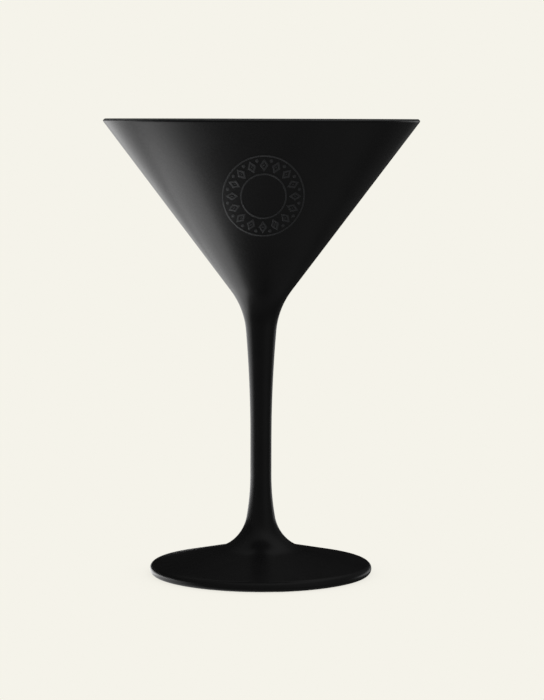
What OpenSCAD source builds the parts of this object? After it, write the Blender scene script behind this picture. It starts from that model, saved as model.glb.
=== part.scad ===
// Martini glass: a conical glass bowl, a slim tapering stem and a round sloping foot, fused
// face to face, with a black lacquer over the outside and a tonal printed ring on the bowl.
// Millimetres. The origin is the centre of the standing ring, +Z is up, and the printed ring
// faces -Y. Every surface is turned about the Z axis from straight lines and arcs.

/* [Overall] */
// Height from the table to the top of the lip
height = 167.5; // [165:0.5:170]
// Diameter of the rim, over the lacquer
rim_d = 115.4; // [114:0.2:117]
// Diameter of the foot, over the lacquer
foot_d = 82; // [79:1:85]

/* [Bowl] */
// Angle between the bowl's side and the axis
bowl_angle = 37; // [36:0.5:38]
// Radius of the curve that leads from the bowl into the stem
blend_r = 28.5; // [25:0.5:31]
// Thickness of the bowl's glass wall, which the lip rounds off
wall = 1.4; // [1.2:0.1:2]
// Radius of the rounded well at the bottom of the bowl
well_r = 6; // [4:0.5:8]

/* [Stem] */
// Diameter of the stem at its waist
stem_d = 7.8; // [7:0.2:8.6]
// Radius of the long curve that thickens the stem towards the bowl
taper_r = 480; // [440:10:500]
// Angle that the long curve turns through
taper_angle = 4.8; // [4:0.2:4.8]

/* [Foot] */
// Slope of the foot's upper face
foot_slope = 12.5; // [11:0.5:13.5]
// Radius of the foot's rounded edge
foot_edge_r = 2; // [1.6:0.1:2.4]
// Radius of the curve that sweeps up from the foot
flare_r = 15; // [14:0.5:16]
// Steepness at which that curve passes into the neck
flare_angle = 80; // [79:1:81]
// Radius of the easier curve from there to the stem's waist
neck_r = 90; // [84:2:92]
// Radius of the shallow hollow under the foot
kick_r = 35; // [32:0.5:36]
// Depth of that hollow
kick_depth = 1.2; // [0.8:0.1:1.6]

/* [Lacquer] */
// Thickness of the lacquer
lacquer_t = 0.15; // [0.1:0.05:0.2]
// Height of the lip that is left bare
bare_lip = 0.5; // [0.3:0.1:0.6]
// Height above the table at which the lacquer stops on the foot's edge
lacquer_foot_z = 0.3; // [0.25:0.05:0.5]

/* [Printed ring] */
// Diameter of the printed ring, seen from the front
print_d = 29.2; // [28:0.2:30]
// Height of its centre
print_z = 140.5; // [139:0.5:142]
// Thickness of the print
print_t = 0.1; // [0.1:0.05:0.2]
// Width of a printed line
line_w = 0.6; // [0.5:0.05:0.7]
// Radius of the opening inside the printed ring
print_hole_r = 7.6; // [7:0.2:8]
// Number of lozenges round the ring
lozenges = 16; // [12:1:18]

/* [Hidden] */
$fn = 360;

glass_colour = [0.78, 0.82, 0.82, 0.5];
lacquer_colour = [0.03, 0.03, 0.03];
print_colour = [0.2, 0.2, 0.21];

// Each arc is drawn this much past its tangent, so that it crosses the straight faces cleanly.
bite = 0.001;

// On an outline a point is [radius, height]. The surface angle a is 0 where the surface faces
// up, 90 where it faces outwards and 180 where it faces down. The depth of a surface is measured
// inwards from the lacquer: the lacquer's own is 0, and the glass's is glass_depth.
function out(a) = [sin(a), cos(a)];
function along(a) = [-cos(a), sin(a)];
function hollow_side(centre, r, z) = [centre[0] - sqrt(pow(r, 2) - pow(z - centre[1], 2)), z];

rim_r = rim_d / 2;
foot_r = foot_d / 2;
stem_r = stem_d / 2;
print_r = print_d / 2;
bowl_a = 90 + bowl_angle;
taper_a = 90 + taper_angle;
glass_depth = lacquer_t;

// The lip is a half circle as wide as the wall, and the lacquer outside it is concentric.
lip_r = wall / 2;
lip_c = [rim_r - lacquer_t - lip_r, height - lip_r];
cone_top = lip_c + (lip_r + lacquer_t) * out(bowl_a);

// The blend ends on the bowl's straight side, which fixes its height. The taper ends below it.
blend_end_r = stem_r + taper_r * (1 - cos(taper_angle))
    + blend_r * (cos(taper_angle) - cos(bowl_angle));
blend_end = [blend_end_r, cone_top[1] - (cone_top[0] - blend_end_r) / tan(bowl_angle)];
blend_c = blend_end + blend_r * out(bowl_a);
taper_c = blend_c + (taper_r - blend_r) * out(taper_a);

// The foot's straight slope fills what the edge, the flare and the neck leave.
edge_c = [foot_r - foot_edge_r, foot_edge_r];
slope_start = edge_c + foot_edge_r * out(foot_slope);
slope_end_r = stem_r + neck_r * (1 - sin(flare_angle))
    + flare_r * (sin(flare_angle) - sin(foot_slope));
slope_run = (slope_start[0] - slope_end_r) / cos(foot_slope);
slope_end = slope_start + slope_run * along(foot_slope);
flare_c = slope_end + flare_r * out(foot_slope);
neck_c = flare_c + (neck_r - flare_r) * out(flare_angle);

// The glass is fused on two level faces: where flare meets neck, and where taper meets blend.
foot_seam_z = flare_c[1] - (flare_r + glass_depth) * cos(flare_angle);
bowl_seam_z = blend_c[1] + (blend_r + glass_depth) * sin(taper_angle);

// The inside of the bowl is a cone that touches the round well. It is cut past the lip.
lip_inside = lip_c - lip_r * out(bowl_a);
well_z = lip_inside[1] + (well_r - lip_inside[0] * cos(bowl_angle)) / sin(bowl_angle);
well_side = [0, well_z] + well_r * out(bowl_a);
inside_top = lip_inside + wall * along(bowl_a);

// Radius of the ball that the hollow under the foot is cut with.
kick_ball_r = (pow(kick_r, 2) + pow(kick_depth, 2)) / (2 * kick_depth);

// The lozenges stand midway between the two rings. Each is [half its length, half its width],
// and is an outline with a small solid one in its middle.
lozenge_c = (print_r + print_hole_r) / 2;
lozenge = [(print_r - print_hole_r) / 2 - 2 * line_w, lozenge_c * sin(180 / lozenges) - line_w];
lozenge_inside = lozenge - [2, 1.5] * line_w;
lozenge_middle = 0.45 * lozenge_inside;
dot_r = line_w;

module disc(centre, r) {
    translate(centre) circle(r);
}

// Each outline below is filled to the axis, between two level faces.
module bowl_outline(depth) {
    inwards = depth * out(bowl_a);
    difference() {
        polygon([[0, bowl_seam_z], hollow_side(blend_c, blend_r + depth, bowl_seam_z),
            blend_end - inwards, cone_top - inwards, lip_inside, [0, lip_inside[1]]]);
        disc(blend_c, blend_r + depth + bite);
    }
    disc(lip_c, lip_r + lacquer_t - depth + bite);
}

module stem_outline(depth) {
    difference() {
        polygon([[0, foot_seam_z], hollow_side(neck_c, neck_r + depth, foot_seam_z),
            [stem_r - depth, neck_c[1]], [stem_r - depth, taper_c[1]],
            hollow_side(taper_c, taper_r + depth, bowl_seam_z), [0, bowl_seam_z]]);
        disc(neck_c, neck_r + depth + bite);
        // The taper's disc is wide enough to reach the neck, so it is kept above the waist.
        intersection() {
            disc(taper_c, taper_r + depth + bite);
            translate([0, neck_c[1]]) square(height);
        }
    }
}

module foot_outline(depth) {
    inwards = depth * out(foot_slope);
    difference() {
        union() {
            polygon([[0, 0], [edge_c[0], 0], edge_c, slope_start - inwards, slope_end - inwards,
                hollow_side(flare_c, flare_r + depth, foot_seam_z), [0, foot_seam_z]]);
            disc(edge_c, foot_edge_r - depth + bite);
        }
        disc(flare_c, flare_r + depth + bite);
    }
}

module bowl() {
    color(glass_colour) rotate_extrude() difference() {
        bowl_outline(glass_depth);
        polygon([[0, well_side[1]], well_side, inside_top, [0, inside_top[1]]]);
        disc([0, well_z], well_r + bite);
    }
}

module stem() {
    color(glass_colour) rotate_extrude() stem_outline(glass_depth);
}

module foot() {
    color(glass_colour) rotate_extrude() difference() {
        foot_outline(glass_depth);
        disc([0, kick_depth - kick_ball_r], kick_ball_r);
    }
}

module bowl_lacquer() {
    color(lacquer_colour) rotate_extrude() difference() {
        bowl_outline(0);
        bowl_outline(glass_depth);
        translate([0, height - bare_lip]) square([rim_d, wall]);
        translate([0, lip_c[1]]) square([lip_c[0], wall]);
    }
}

module stem_lacquer() {
    color(lacquer_colour) rotate_extrude() difference() {
        stem_outline(0);
        stem_outline(glass_depth);
    }
}

module foot_lacquer() {
    color(lacquer_colour) rotate_extrude() difference() {
        foot_outline(0);
        foot_outline(glass_depth);
        translate([0, -foot_edge_r]) square([foot_d, foot_edge_r + lacquer_foot_z]);
    }
}

module diamond(half) {
    polygon([[half[0], 0], [0, half[1]], [-half[0], 0], [0, -half[1]]]);
}

module ring_line(r) {
    difference() {
        circle(r);
        circle(r - line_w);
    }
}

module ring_pattern() {
    ring_line(print_r);
    ring_line(print_hole_r + line_w);
    for (k = [0:lozenges - 1]) rotate(k * 360 / lozenges) {
        translate([lozenge_c, 0]) {
            difference() {
                diamond(lozenge);
                diamond(lozenge_inside);
            }
            diamond(lozenge_middle);
        }
        rotate(180 / lozenges) translate([lozenge_c + lozenge[0] - dot_r, 0]) circle(dot_r, $fn = 24);
    }
}

// The print lies on the bowl's straight side, and is round when it is seen from the front.
module printed_ring() {
    proud = print_t * out(bowl_a);
    color(print_colour) intersection() {
        rotate_extrude() polygon([blend_end, blend_end + proud, cone_top + proud, cone_top]);
        translate([0, 0, print_z]) rotate([90, 0, 0]) linear_extrude(rim_r) ring_pattern();
    }
}

bowl();
stem();
foot();
bowl_lacquer();
stem_lacquer();
foot_lacquer();
printed_ring();
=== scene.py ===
"""Looks of the martini glass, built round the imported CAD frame.

Metres, +Z up, the printed ring faces -Y. The glass is clear, its outside is sprayed with satin
black lacquer up to a rounded lip that is left bare and a little matt, and a tonal ring of
geometric marks is printed on the bowl.
"""

import math

import bpy
from mathutils import Matrix, Vector


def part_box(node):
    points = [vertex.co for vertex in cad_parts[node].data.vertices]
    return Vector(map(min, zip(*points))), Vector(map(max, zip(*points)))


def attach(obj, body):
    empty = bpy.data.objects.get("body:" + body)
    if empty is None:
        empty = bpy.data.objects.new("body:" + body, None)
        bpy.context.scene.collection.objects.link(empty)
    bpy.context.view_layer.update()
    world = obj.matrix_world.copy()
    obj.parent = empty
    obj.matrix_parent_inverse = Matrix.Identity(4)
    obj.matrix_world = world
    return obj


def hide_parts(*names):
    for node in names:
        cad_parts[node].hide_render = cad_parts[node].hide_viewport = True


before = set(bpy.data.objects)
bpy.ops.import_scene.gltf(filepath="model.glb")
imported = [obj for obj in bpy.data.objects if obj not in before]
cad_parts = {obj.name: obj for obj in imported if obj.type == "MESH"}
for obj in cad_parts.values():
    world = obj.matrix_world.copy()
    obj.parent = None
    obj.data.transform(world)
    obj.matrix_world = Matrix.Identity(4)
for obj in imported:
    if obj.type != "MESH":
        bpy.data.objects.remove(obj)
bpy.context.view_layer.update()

# ---------------------------------------------------------------------------------------------
# Dimensions. Places come from the CAD boxes. Radii, angles and thicknesses are part.scad's.

MM = 0.001

LIP_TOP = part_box("bowl")[1].z
RIM_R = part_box("bowl_lacquer")[1].x
FOOT_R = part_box("foot_lacquer")[1].x
FOOT_SEAM_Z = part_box("stem")[0].z
BOWL_SEAM_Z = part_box("stem")[1].z
LACQUER_LOW_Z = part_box("foot_lacquer")[0].z
LACQUER_TOP_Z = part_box("bowl_lacquer")[1].z
PRINT_LOW, PRINT_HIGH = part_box("printed_ring")

LACQUER_T = 0.15 * MM
WALL = 1.4 * MM
WELL_R = 6 * MM
BOWL_ANGLE = math.radians(37)
BLEND_R = 28.5 * MM
TAPER_R = 480 * MM
TAPER_ANGLE = math.radians(4.8)
STEM_R = 3.9 * MM
FOOT_SLOPE = math.radians(12.5)
FOOT_EDGE_R = 2 * MM
FLARE_R = 15 * MM
FLARE_ANGLE = math.radians(80)
NECK_R = 90 * MM
KICK_R = 35 * MM
KICK_DEPTH = 1.2 * MM

PRINT_T = 0.1 * MM
PRINT_LINE = 0.6 * MM
PRINT_HOLE_R = 7.6 * MM
LOZENGES = 16

BOND = 0.02 * MM     # how far a layer is sunk into the one that it sticks to

UP = 0.0             # surface angles: 0 faces up, 90 degrees faces out from the axis
OUTWARDS = math.pi / 2
DOWN = math.pi
BOWL_A = OUTWARDS + BOWL_ANGLE
TAPER_A = OUTWARDS + TAPER_ANGLE

TURNS = 320                    # divisions round the axis
ARC_STEP = math.radians(3)     # the widest turn between two points of an outline
LENGTH_STEP = 2.5 * MM         # the longest stretch between them
SAME_POINT = 4                 # decimals of a millimetre to which points that are one agree


# ---------------------------------------------------------------------------------------------
# Outlines. Each is a list of ((radius, height), surface angle).

def out(angle):
    return Vector((math.sin(angle), math.cos(angle)))


def along(angle):
    return Vector((-math.cos(angle), math.sin(angle)))


def arc(centre, radius, start, end):
    """A round stretch between two surface angles. A hollow one has a negative radius."""
    turn = abs(end - start)
    steps = max(2, math.ceil(turn / ARC_STEP), math.ceil(abs(radius) * turn / LENGTH_STEP))
    angles = [start + (end - start) * k / steps for k in range(steps + 1)]
    return [(centre + radius * out(a), a) for a in angles]


def line(start, end, angle):
    """A straight stretch that faces one way."""
    steps = max(1, math.ceil((end - start).length / LENGTH_STEP))
    return [(start.lerp(end, k / steps), angle) for k in range(steps + 1)]


def joined(*stretches):
    """One smooth outline from stretches that meet end to end."""
    points = list(stretches[0])
    for stretch in stretches[1:]:
        points += stretch[1:]
    return points


def inner_face(outline):
    """The same outline as the far face of a skin: run backwards and facing the other way."""
    return [(point, angle + math.pi) for point, angle in reversed(outline)]


# Centres and ends that the outlines share, worked out as in part.scad.
LIP_R = WALL / 2
LIP_C = Vector((RIM_R - LACQUER_T - LIP_R, LIP_TOP - LIP_R))
LIP_INSIDE = LIP_C - LIP_R * out(BOWL_A)
CONE_TOP = LIP_C + (LIP_R + LACQUER_T) * out(BOWL_A)
BLEND_END_R = (STEM_R + TAPER_R * (1 - math.cos(TAPER_ANGLE))
               + BLEND_R * (math.cos(TAPER_ANGLE) - math.cos(BOWL_ANGLE)))
BLEND_END = Vector((BLEND_END_R,
                    CONE_TOP.y - (CONE_TOP.x - BLEND_END_R) / math.tan(BOWL_ANGLE)))
BLEND_C = BLEND_END + BLEND_R * out(BOWL_A)
TAPER_C = BLEND_C + (TAPER_R - BLEND_R) * out(TAPER_A)
WELL_C = Vector((0, LIP_INSIDE.y + (WELL_R - LIP_INSIDE.x * math.cos(BOWL_ANGLE))
                 / math.sin(BOWL_ANGLE)))

EDGE_C = Vector((FOOT_R - FOOT_EDGE_R, FOOT_EDGE_R))
SLOPE_START = EDGE_C + FOOT_EDGE_R * out(FOOT_SLOPE)
SLOPE_END_R = (STEM_R + NECK_R * (1 - math.sin(FLARE_ANGLE))
               + FLARE_R * (math.sin(FLARE_ANGLE) - math.sin(FOOT_SLOPE)))
SLOPE_RUN = (SLOPE_START.x - SLOPE_END_R) / math.cos(FOOT_SLOPE)
SLOPE_END = SLOPE_START + SLOPE_RUN * along(FOOT_SLOPE)
FLARE_C = SLOPE_END + FLARE_R * out(FOOT_SLOPE)
NECK_C = FLARE_C + (NECK_R - FLARE_R) * out(FLARE_ANGLE)
KICK_BALL_R = (KICK_R ** 2 + KICK_DEPTH ** 2) / (2 * KICK_DEPTH)
KICK_C = Vector((0, KICK_DEPTH - KICK_BALL_R))


def bowl_side(depth):
    """The bowl's outside, this far under the lacquer's face, from the seam to the lip's arc."""
    inwards = depth * out(BOWL_A)
    radius = BLEND_R + depth
    seam_angle = OUTWARDS + math.asin((BLEND_C.y - BOWL_SEAM_Z) / -radius)
    return joined(arc(BLEND_C, -radius, seam_angle, BOWL_A),
                  line(BLEND_END - inwards, CONE_TOP - inwards, BOWL_A))


def stem_side(depth):
    """The stem's outside, from the foot's seam up to the bowl's."""
    neck, taper, waist_r = NECK_R + depth, TAPER_R + depth, STEM_R - depth
    low_angle = math.acos((NECK_C.y - FOOT_SEAM_Z) / neck)
    high_angle = math.acos((TAPER_C.y - BOWL_SEAM_Z) / taper)
    return joined(arc(NECK_C, -neck, low_angle, OUTWARDS),
                  line(Vector((waist_r, NECK_C.y)), Vector((waist_r, TAPER_C.y)), OUTWARDS),
                  arc(TAPER_C, -taper, OUTWARDS, high_angle))


def foot_side(depth, low_angle):
    """The foot's outside, from a place on its rounded edge up to the seam."""
    inwards = depth * out(FOOT_SLOPE)
    flare = FLARE_R + depth
    return joined(arc(EDGE_C, FOOT_EDGE_R - depth, low_angle, FOOT_SLOPE),
                  line(SLOPE_START - inwards, SLOPE_END - inwards, FOOT_SLOPE),
                  arc(FLARE_C, -flare, FOOT_SLOPE,
                      math.acos((FLARE_C.y - FOOT_SEAM_Z) / flare)))


# ---------------------------------------------------------------------------------------------
# Meshes

def add_object(name, verts, faces, material, slot, *nodes):
    """A piece that rides on the glass, takes a material and replaces CAD nodes; slot is not used.
    """
    mesh = bpy.data.meshes.new(name)
    mesh.from_pydata(verts, [], faces)
    mesh.materials.append(material)
    piece = bpy.data.objects.new(name, mesh)
    bpy.context.collection.objects.link(piece)
    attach(piece, "root")
    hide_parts(*nodes)
    return piece


def turned(name, outlines, material, slot, node):
    """A closed surface turned about the axis. It is smooth along each outline, with the outline's
    own surface angles as its normals, and has a sharp edge where two outlines meet."""
    verts, rings, faces, normals = [], {}, [], []
    turns = [(math.cos(2 * math.pi * k / TURNS), math.sin(2 * math.pi * k / TURNS))
             for k in range(TURNS)]

    def ring(point):
        key = (round(point.x / MM, SAME_POINT), round(point.y / MM, SAME_POINT))
        if key not in rings:
            first = len(verts)
            if key[0] == 0:
                verts.append((0, 0, point.y))
                rings[key] = [first] * TURNS
            else:
                verts.extend((point.x * c, point.x * s, point.y) for c, s in turns)
                rings[key] = list(range(first, first + TURNS))
        return rings[key]

    for outline in outlines:
        for (start, start_a), (end, end_a) in zip(outline, outline[1:]):
            low, high = ring(start), ring(end)
            step, face = end - start, out((start_a + end_a) / 2)
            flip = step.x * face.y - step.y * face.x > 0
            for k in range(TURNS):
                n = (k + 1) % TURNS
                corners = [(low[k], start_a, k), (low[n], start_a, n),
                           (high[n], end_a, n), (high[k], end_a, k)]
                if low[k] == low[n]:
                    del corners[1]
                elif high[k] == high[n]:
                    del corners[3]
                if flip:
                    corners.reverse()
                faces.append([vertex for vertex, _, _ in corners])
                for _, a, turn in corners:
                    c, s = turns[turn]
                    normals.append((math.sin(a) * c, math.sin(a) * s, math.cos(a)))
    piece = add_object(name, verts, faces, material, slot, node)
    piece.data.normals_split_custom_set(normals)


def skin(name, side, inner_side, material, node, low_cap, high_cap):
    """A film of lacquer between an outer and an inner outline, closed by a face at each end."""
    caps = [line(inner_side[0][0], side[0][0], low_cap),
            line(side[-1][0], inner_side[-1][0], high_cap)]
    turned(name, [side, inner_face(inner_side)] + caps, material, "black_lacquer", node)


def on_axis(point):
    return Vector((0, point.y))


def make_bowl(glass, lip_glass, lacquer):
    """The bowl's glass up to where the lacquer stops, the bare lip above it, and the lacquer."""
    glass_side = bowl_side(LACQUER_T)
    bare_angle = math.acos((LACQUER_TOP_Z - LIP_C.y) / LIP_R)
    lip_outside = arc(LIP_C, LIP_R, BOWL_A, bare_angle)
    bare_inside = LIP_INSIDE - (LIP_INSIDE.y - LACQUER_TOP_Z) / math.sin(BOWL_A) * along(BOWL_A)
    lip = joined(arc(LIP_C, LIP_R, bare_angle, BOWL_A - math.pi),
                 line(LIP_INSIDE, bare_inside, BOWL_A - math.pi))
    inside = joined(line(bare_inside, WELL_C + WELL_R * out(BOWL_A), BOWL_A - math.pi),
                    arc(WELL_C, -WELL_R, BOWL_A - math.pi, UP))
    seam = glass_side[0][0]
    lip_out, lip_in = lip[0][0], lip[-1][0]
    turned("bowl_glass", [joined(glass_side, lip_outside), line(lip_out, lip_in, UP),
                          inside, line(on_axis(seam), seam, DOWN)], glass, "clear_glass", "bowl")
    sunk_out, sunk_in = (point - Vector((0, BOND)) for point in (lip_out, lip_in))
    turned("bowl_lip", [line(sunk_out, lip_out, OUTWARDS), lip,
                        line(lip_in, sunk_in, -OUTWARDS), line(sunk_in, sunk_out, DOWN)],
           lip_glass, "clear_glass", "bowl")

    def lacquered(depth):
        radius = LIP_R + LACQUER_T - depth
        top_angle = math.acos((LACQUER_TOP_Z - LIP_C.y) / radius)
        return joined(bowl_side(depth), arc(LIP_C, radius, BOWL_A, top_angle))

    skin("bowl_lacquer_coat", lacquered(0), lacquered(LACQUER_T + BOND), lacquer,
         "bowl_lacquer", DOWN, UP)


def make_stem(glass, lacquer):
    glass_side = stem_side(LACQUER_T)
    low, high = glass_side[0][0], glass_side[-1][0]
    turned("stem_glass", [glass_side, line(on_axis(low), low, DOWN),
                          line(high, on_axis(high), UP)], glass, "clear_glass", "stem")
    skin("stem_lacquer_coat", stem_side(0), stem_side(LACQUER_T + BOND), lacquer,
         "stem_lacquer", DOWN, UP)


def make_foot(glass, lacquer):
    glass_side = foot_side(LACQUER_T, DOWN)
    high = glass_side[-1][0]
    ring_high, ring_low = Vector((EDGE_C.x, LACQUER_T)), Vector((EDGE_C.x, 0))
    ring_in = Vector((KICK_R, 0))
    hollow = inner_face(arc(KICK_C, KICK_BALL_R, UP, math.asin(KICK_R / KICK_BALL_R)))
    turned("foot_glass", [glass_side, line(high, on_axis(high), UP),
                          line(ring_low, ring_high, OUTWARDS), line(ring_in, ring_low, DOWN),
                          hollow], glass, "clear_glass", "foot")

    def lacquered(depth):
        low_angle = math.acos((LACQUER_LOW_Z - EDGE_C.y) / (FOOT_EDGE_R - depth))
        return foot_side(depth, low_angle)

    skin("foot_lacquer_coat", lacquered(0), lacquered(LACQUER_T + BOND), lacquer,
         "foot_lacquer", DOWN, UP)


# ---------------------------------------------------------------------------------------------
# The printed ring: marks laid out flat, as seen from the front, then raised on the bowl's side

PRINT_C = Vector(((PRINT_LOW.x + PRINT_HIGH.x) / 2, (PRINT_LOW.z + PRINT_HIGH.z) / 2))
PRINT_R = (PRINT_HIGH.x - PRINT_LOW.x) / 2
LOZENGE_C = (PRINT_R + PRINT_HOLE_R) / 2
LOZENGE = Vector(((PRINT_R - PRINT_HOLE_R) / 2 - 2 * PRINT_LINE,
                  LOZENGE_C * math.sin(math.pi / LOZENGES) - PRINT_LINE))
LOZENGE_INSIDE = LOZENGE - PRINT_LINE * Vector((2, 1.5))
LOZENGE_MIDDLE = 0.45 * LOZENGE_INSIDE
DOT_R = PRINT_LINE
SHOULDER = 0.06 * MM     # how far the ink's top is set in from its edge
SHOULDER_LOW = 0.6 * PRINT_T
SHARP_EDGE = math.radians(40)
SIDE_STEPS = 6           # divisions along a lozenge's side
DOT_STEPS = 24
RING_STEPS = 300


def circle(radius, count):
    def loop(inset):
        return [(radius - inset) * Vector((math.cos(t), math.sin(t)))
                for t in (2 * math.pi * k / count for k in range(count))]
    return loop


def diamond(half):
    def loop(inset):
        size = half * (1 - inset * half.length / (half.x * half.y))
        corners = [Vector((size.x, 0)), Vector((0, size.y)),
                   Vector((-size.x, 0)), Vector((0, -size.y))]
        return [corners[i].lerp(corners[(i + 1) % 4], k / SIDE_STEPS)
                for i in range(4) for k in range(SIDE_STEPS)]
    return loop


def placed(loop, distance, angle):
    """A loop moved out from the ring's centre and turned round it."""
    turn = Matrix.Rotation(angle, 2)
    return lambda inset: [turn @ (p + Vector((distance, 0))) for p in loop(inset)]


def print_marks():
    """(outer loop, inner loop or None) for every mark of the ring."""
    yield circle(PRINT_R, RING_STEPS), circle(PRINT_R - PRINT_LINE, RING_STEPS)
    yield circle(PRINT_HOLE_R + PRINT_LINE, RING_STEPS), circle(PRINT_HOLE_R, RING_STEPS)
    for k in range(LOZENGES):
        angle = 2 * math.pi * k / LOZENGES
        yield (placed(diamond(LOZENGE), LOZENGE_C, angle),
               placed(diamond(LOZENGE_INSIDE), LOZENGE_C, angle))
        yield placed(diamond(LOZENGE_MIDDLE), LOZENGE_C, angle), None
        yield (placed(circle(DOT_R, DOT_STEPS), LOZENGE_C + LOZENGE.x - DOT_R,
                      angle + math.pi / LOZENGES), None)


def on_bowl(point, height):
    """The place on the bowl's front that lies behind a flat point, raised off the lacquer."""
    base = CONE_TOP + height * out(BOWL_A)
    x, z = point + PRINT_C
    radius = base.x + (z - base.y) * math.tan(BOWL_ANGLE)
    return (x, -math.sqrt(radius ** 2 - x ** 2), z)


def make_print(ink):
    """Every mark is a low plateau of ink: a wall up from the lacquer, then a soft shoulder."""
    verts, faces = [], []

    def add_loop(points, height):
        first = len(verts)
        verts.extend(on_bowl(p, height) for p in points)
        return list(range(first, len(verts)))

    def add_band(a, b):
        for k in range(len(a)):
            n = (k + 1) % len(a)
            faces.append((a[k], a[n], b[n], b[k]))

    def add_levels(loop, grow):
        """The ink's edge along one loop, from its sunk foot to its top."""
        return [add_loop(loop(0), -BOND), add_loop(loop(0), SHOULDER_LOW),
                add_loop(loop(grow * SHOULDER), PRINT_T)]

    for outer, inner in print_marks():
        edge = add_levels(outer, 1)
        add_band(edge[0], edge[1])
        add_band(edge[1], edge[2])
        if inner:
            hole = add_levels(inner, -1)
            add_band(edge[2], hole[2])
            add_band(hole[2], hole[1])
            add_band(hole[1], hole[0])
            add_band(hole[0], edge[0])
        else:
            for ring, height in ((edge[2], PRINT_T), (edge[0][::-1], -BOND)):
                loop = outer(0)
                middle = sum(loop, Vector((0, 0))) / len(loop)
                hub = add_loop([middle], height)[0]
                faces.extend((ring[k], ring[(k + 1) % len(ring)], hub)
                             for k in range(len(ring)))
    piece = add_object("printed_ring_ink", verts, faces, ink, "ring_print", "printed_ring")
    for polygon in piece.data.polygons:
        polygon.use_smooth = True
    piece.data.set_sharp_from_angle(angle=SHARP_EDGE)


# ---------------------------------------------------------------------------------------------
# Materials. Noise scales are per metre: the grain is about 1 / scale across.

def new_material(name):
    material = bpy.data.materials.new(name)
    material.use_nodes = True
    tree = material.node_tree
    return material, tree, tree.nodes["Principled BSDF"]


def noise(tree, scale, detail=3.0, stretch=(1, 1, 1)):
    coords = tree.nodes.new("ShaderNodeTexCoord")
    mapping = tree.nodes.new("ShaderNodeMapping")
    mapping.inputs["Scale"].default_value = stretch
    texture = tree.nodes.new("ShaderNodeTexNoise")
    texture.inputs["Scale"].default_value = scale
    texture.inputs["Detail"].default_value = detail
    tree.links.new(coords.outputs["Object"], mapping.inputs["Vector"])
    tree.links.new(mapping.outputs["Vector"], texture.inputs["Vector"])
    return texture.outputs["Fac"]


def ranged(tree, value, low, high, from_low=0.3, from_high=0.7):
    """A texture's middle range, spread from low to high."""
    node = tree.nodes.new("ShaderNodeMapRange")
    node.inputs["From Min"].default_value = from_low
    node.inputs["From Max"].default_value = from_high
    node.inputs["To Min"].default_value = low
    node.inputs["To Max"].default_value = high
    tree.links.new(value, node.inputs["Value"])
    return node.outputs["Result"]


def mixed(tree, fraction, first, second):
    """One colour shading into another."""
    node = tree.nodes.new("ShaderNodeMix")
    node.data_type = "RGBA"
    node.inputs["A"].default_value = (*first, 1)
    node.inputs["B"].default_value = (*second, 1)
    tree.links.new(fraction, node.inputs["Factor"])
    return node.outputs["Result"]


def summed(tree, first, second):
    node = tree.nodes.new("ShaderNodeMath")
    tree.links.new(first, node.inputs[0])
    tree.links.new(second, node.inputs[1])
    return node.outputs["Value"]


def bumped(tree, shader, height, distance):
    """Relief of this depth, in metres, from a height between 0 and 1."""
    node = tree.nodes.new("ShaderNodeBump")
    node.inputs["Strength"].default_value = 1
    node.inputs["Distance"].default_value = distance
    tree.links.new(height, node.inputs["Height"])
    tree.links.new(node.outputs["Normal"], shader.inputs["Normal"])


def lacquer_material():
    """Sprayed satin black: a faint orange peel, a little uneven in gloss and in depth."""
    material, tree, shader = new_material("satin_black_lacquer")
    shade = ranged(tree, noise(tree, scale=90), low=0, high=1)
    colour = mixed(tree, shade, first=(0.026, 0.026, 0.0265), second=(0.032, 0.032, 0.0326))
    tree.links.new(colour, shader.inputs["Base Color"])
    gloss = ranged(tree, noise(tree, scale=45), low=0.25, high=0.30)
    grain = ranged(tree, noise(tree, scale=5000, detail=1), low=-0.02, high=0.02)
    tree.links.new(summed(tree, gloss, grain), shader.inputs["Roughness"])
    bumped(tree, shader, noise(tree, scale=700, detail=2), distance=0.012 * MM)
    return material


def glass_material():
    """Clear glass, hand-wiped: a very faint ripple and soft smears that dull it a little."""
    material, tree, shader = new_material("clear_glass")
    shade = ranged(tree, noise(tree, scale=40), low=0, high=1)
    colour = mixed(tree, shade, first=(0.95, 0.975, 0.97), second=(0.98, 0.99, 0.985))
    tree.links.new(colour, shader.inputs["Base Color"])
    smears = noise(tree, scale=60, detail=4, stretch=(1, 1, 0.35))
    tree.links.new(ranged(tree, smears, low=0.0, high=0.04, from_low=0.5, from_high=0.8),
                   shader.inputs["Roughness"])
    shader.inputs["Transmission Weight"].default_value = 1
    shader.inputs["IOR"].default_value = 1.52
    bumped(tree, shader, noise(tree, scale=80, detail=1), distance=0.01 * MM)
    return material


def lip_material():
    """The bare edge of the glass, slightly matt where the lacquer was wiped off it."""
    material, tree, shader = new_material("matt_glass_edge")
    shade = ranged(tree, noise(tree, scale=300), low=0, high=1)
    colour = mixed(tree, shade, first=(0.24, 0.25, 0.25), second=(0.32, 0.335, 0.33))
    tree.links.new(colour, shader.inputs["Base Color"])
    gloss = ranged(tree, noise(tree, scale=900), low=0.32, high=0.45)
    tree.links.new(gloss, shader.inputs["Roughness"])
    bumped(tree, shader, noise(tree, scale=2500, detail=1), distance=0.006 * MM)
    return material


def ink_material():
    """Matt dark grey ink, with the fine mottle of a screen print."""
    material, tree, shader = new_material("dark_grey_ink")
    shade = ranged(tree, noise(tree, scale=2500, detail=2), low=0, high=1)
    colour = mixed(tree, shade, first=(0.10, 0.102, 0.106), second=(0.14, 0.142, 0.147))
    tree.links.new(colour, shader.inputs["Base Color"])
    gloss = ranged(tree, noise(tree, scale=1200), low=0.5, high=0.62)
    tree.links.new(gloss, shader.inputs["Roughness"])
    bumped(tree, shader, noise(tree, scale=4000, detail=1), distance=0.006 * MM)
    return material


# ---------------------------------------------------------------------------------------------
# Studio: a seamless ivory sweep, a dark room that is bright low on the left, and the camera

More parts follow.
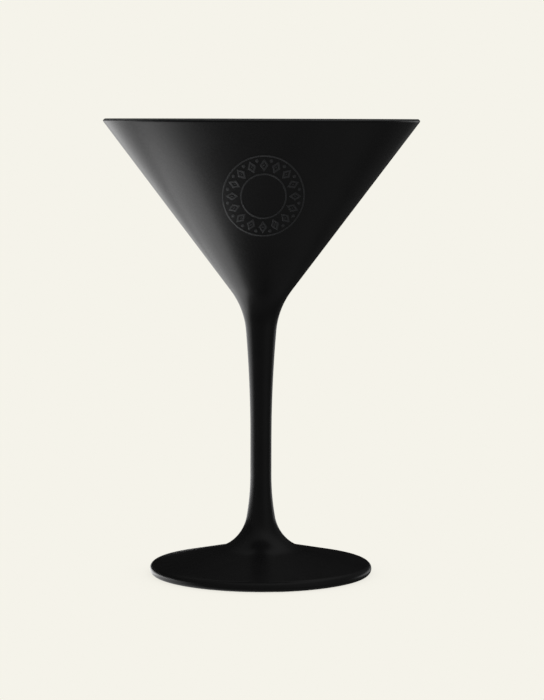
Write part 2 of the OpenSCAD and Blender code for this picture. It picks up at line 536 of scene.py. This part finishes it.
IVORY = (0.913, 0.896, 0.823)
SWEEP_MIDDLE_R = 0.3
SWEEP_FLOOR_R = 2.0
SWEEP_CORNER_R = 0.8
SWEEP_TOP_Z = 4.0
SWEEP_SIDES = 96
SWEEP_CORNER_STEPS = 24
CONTACT_REACH = 0.02     # how near to the foot the floor is shaded
CONTACT_SHADE = 0.9      # what is left of the ivory where the shade is deepest


def make_sweep():
    """Floor and wall in one smooth surface all round, with a very faint painted shade, darkened
    into its glow where the foot meets the floor. It glows by itself, is seen directly and through
    the glass, and neither lights the glass nor shows in its reflections."""
    corner_c = Vector((SWEEP_FLOOR_R, SWEEP_CORNER_R))
    corner_turns = [OUTWARDS * k / SWEEP_CORNER_STEPS for k in range(SWEEP_CORNER_STEPS + 1)]
    corner = [corner_c + SWEEP_CORNER_R * Vector((math.sin(t), -math.cos(t)))
              for t in corner_turns]
    profile = [Vector((0, 0)), Vector((SWEEP_MIDDLE_R, 0))] + corner
    profile.append(Vector((SWEEP_FLOOR_R + SWEEP_CORNER_R, SWEEP_TOP_Z)))
    turns = [2 * math.pi * k / SWEEP_SIDES for k in range(SWEEP_SIDES)]
    verts = [(p.x * math.cos(t), p.x * math.sin(t), p.y) for p in profile for t in turns]
    faces = [(i * SWEEP_SIDES + k, i * SWEEP_SIDES + (k + 1) % SWEEP_SIDES,
              (i + 1) * SWEEP_SIDES + (k + 1) % SWEEP_SIDES, (i + 1) * SWEEP_SIDES + k)
             for i in range(len(profile) - 1) for k in range(SWEEP_SIDES)]
    mesh = bpy.data.meshes.new("sweep")
    mesh.from_pydata(verts, [], faces)
    sweep = bpy.data.objects.new("sweep", mesh)
    bpy.context.collection.objects.link(sweep)

    material = bpy.data.materials.new("ivory_sweep")
    material.use_nodes = True
    tree = material.node_tree
    tree.nodes.clear()
    # Painted contact shade: ambient occlusion near the foot darkens the ivory glow.
    shade = tree.nodes.new("ShaderNodeAmbientOcclusion")
    shade.inputs["Distance"].default_value = CONTACT_REACH
    shade.samples = 16
    glow = tree.nodes.new("ShaderNodeEmission")
    surface = tree.nodes.new("ShaderNodeOutputMaterial")
    open_sky = ranged(tree, shade.outputs["AO"], low=0, high=1, from_low=0.3, from_high=1)
    colour = mixed(tree, open_sky, first=tuple(CONTACT_SHADE * c for c in IVORY), second=IVORY)
    tree.links.new(colour, glow.inputs["Color"])
    tree.links.new(glow.outputs["Emission"], surface.inputs["Surface"])
    mesh.materials.append(material)
    sweep.visible_diffuse = False
    sweep.visible_glossy = False
    sweep.visible_transmission = True
    sweep.visible_shadow = False


# The camera's place is measured from the glass's axis and from the top of the lip.
CAMERA_DISTANCE = 0.928
CAMERA_SIDE = 0.004
CAMERA_ABOVE_RIM = 1.3 * MM
CAMERA_PITCH = math.radians(5.29)
CAMERA_ROLL = math.radians(0.15)
CAMERA_TURN = math.radians(-1.4)     # the view is a little from the left of the printed ring
CAMERA_LENS_MM = 130.4
CAMERA_SENSOR_MM = 36

# What the glass reflects, by direction: how strongly each light glows, and the limits that it
# fades in between, dark at the first number and full at the second. The azimuth is in degrees
# from the view's left, 90 behind the glass and 180 at the right. x, y and z are the direction's.
ROOM_GLOW = 0.01
PANEL = [("azimuth", -22, 22), ("azimuth", 89, 70), ("z", 0.02, -0.09)]
ABOVE_FLOOR = ("z", -0.75, -0.3)
OVERHEAD = ("z", 0.5, 0.9)
ROOM_LIGHTS = {
    "panel, low on the left and behind": (0.55, PANEL),
    "its brighter upper part": (1.0, PANEL + [("z", -0.6, -0.15)]),
    "strip, low on the right and behind": (0.6, [("azimuth", 98, 118), ("azimuth", 158, 142),
                                                 ("z", -0.25, -0.12), ("z", 0.08, -0.02)]),
    "front": (0.085, [("y", 0.1, -0.7), ABOVE_FLOOR]),
    "right": (0.07, [("x", 0.1, 0.8), ABOVE_FLOOR]),
    "top": (0.09, [OVERHEAD]),
    "top right": (0.10, [OVERHEAD, ("x", -0.4, 0.3)]),
    "upper half": (0.01, [("z", 0.1, 0.6)]),
    "floor": (0.11, [("z", -0.5, -0.8)]),
}


def make_room():
    """A dark world with soft lights in it, which the glass reflects. A broad one low on the left
    and behind makes the long highlight, and the others are narrow or dim."""
    world = bpy.data.worlds.new("room")
    bpy.context.scene.world = world
    world.use_nodes = True
    tree = world.node_tree
    tree.nodes.clear()
    coords = tree.nodes.new("ShaderNodeTexCoord")
    split = tree.nodes.new("ShaderNodeSeparateXYZ")
    tree.links.new(coords.outputs["Generated"], split.inputs["Vector"])

    def math_node(operation, first, second):
        node = tree.nodes.new("ShaderNodeMath")
        node.operation = operation
        for socket, value in zip(node.inputs, (first, second)):
            if isinstance(value, (int, float)):
                socket.default_value = value
            else:
                tree.links.new(value, socket)
        return node.outputs["Value"]

    def soft_step(value, start, end):
        node = tree.nodes.new("ShaderNodeMapRange")
        node.interpolation_type = "SMOOTHSTEP"
        node.inputs["From Min"].default_value = start
        node.inputs["From Max"].default_value = end
        tree.links.new(value, node.inputs["Value"])
        return node.outputs["Result"]

    direction = {axis: split.outputs[axis.upper()] for axis in "xyz"}
    towards_left = math_node("MULTIPLY", direction["x"], -1)
    turn = math_node("ADD", math_node("ARCTAN2", direction["y"], towards_left), CAMERA_TURN)
    direction["azimuth"] = math_node("MULTIPLY", turn, math.degrees(1))

    light = ROOM_GLOW
    for part, limits in ROOM_LIGHTS.values():
        for axis, start, end in limits:
            part = math_node("MULTIPLY", soft_step(direction[axis], start, end), part)
        light = math_node("ADD", part, light)

    background = tree.nodes.new("ShaderNodeBackground")
    output = tree.nodes.new("ShaderNodeOutputWorld")
    tree.links.new(light, background.inputs["Strength"])
    tree.links.new(background.outputs["Background"], output.inputs["Surface"])


def add_softbox(name, location, aim, size, glow):
    """A round soft light with this radiance, aimed at a point. The camera doesn't see it."""
    lamp = bpy.data.lights.new(name, "AREA")
    lamp.shape = "DISK"
    lamp.size = size
    lamp.energy = glow * math.pi * math.pi * (size / 2) ** 2
    box = bpy.data.objects.new(name, lamp)
    box.location = location
    box.rotation_euler = (Vector(aim) - box.location).to_track_quat("-Z", "Y").to_euler()
    box.visible_camera = False
    bpy.context.collection.objects.link(box)
    return box


def make_softboxes():
    """A wide one on the floor, on the left and behind, which lights the glass from below, and a
    small one beside the lip. The small one is kept out of reflections."""
    add_softbox("softbox_low", location=(-0.112, 0.1, -0.005), aim=(-0.112, 0.1, 1),
                size=0.22, glow=0.95)
    lip_box = add_softbox("softbox_rim", location=(-0.13, 0.03, 0.205), aim=(-0.04, 0, 0.167),
                          size=0.06, glow=2.2)
    lip_box.visible_glossy = False


def make_camera():
    camera = bpy.data.cameras.new("camera")
    camera.sensor_width = CAMERA_SENSOR_MM
    camera.lens = CAMERA_LENS_MM
    view = bpy.data.objects.new("camera", camera)
    view.matrix_world = (
        Matrix.Rotation(CAMERA_TURN, 4, "Z")
        @ Matrix.Translation((CAMERA_SIDE, -CAMERA_DISTANCE, LIP_TOP + CAMERA_ABOVE_RIM))
        @ Matrix.Rotation(OUTWARDS - CAMERA_PITCH, 4, "X")
        @ Matrix.Rotation(CAMERA_ROLL, 4, "Z"))
    bpy.context.collection.objects.link(view)
    bpy.context.scene.camera = view
    bpy.context.scene.view_settings.view_transform = "Standard"


make_sweep()
make_room()
make_softboxes()
make_camera()

lacquer = lacquer_material()
glass = glass_material()
make_bowl(glass, lip_material(), lacquer)
make_stem(glass, lacquer)
make_foot(glass, lacquer)
make_print(ink_material())
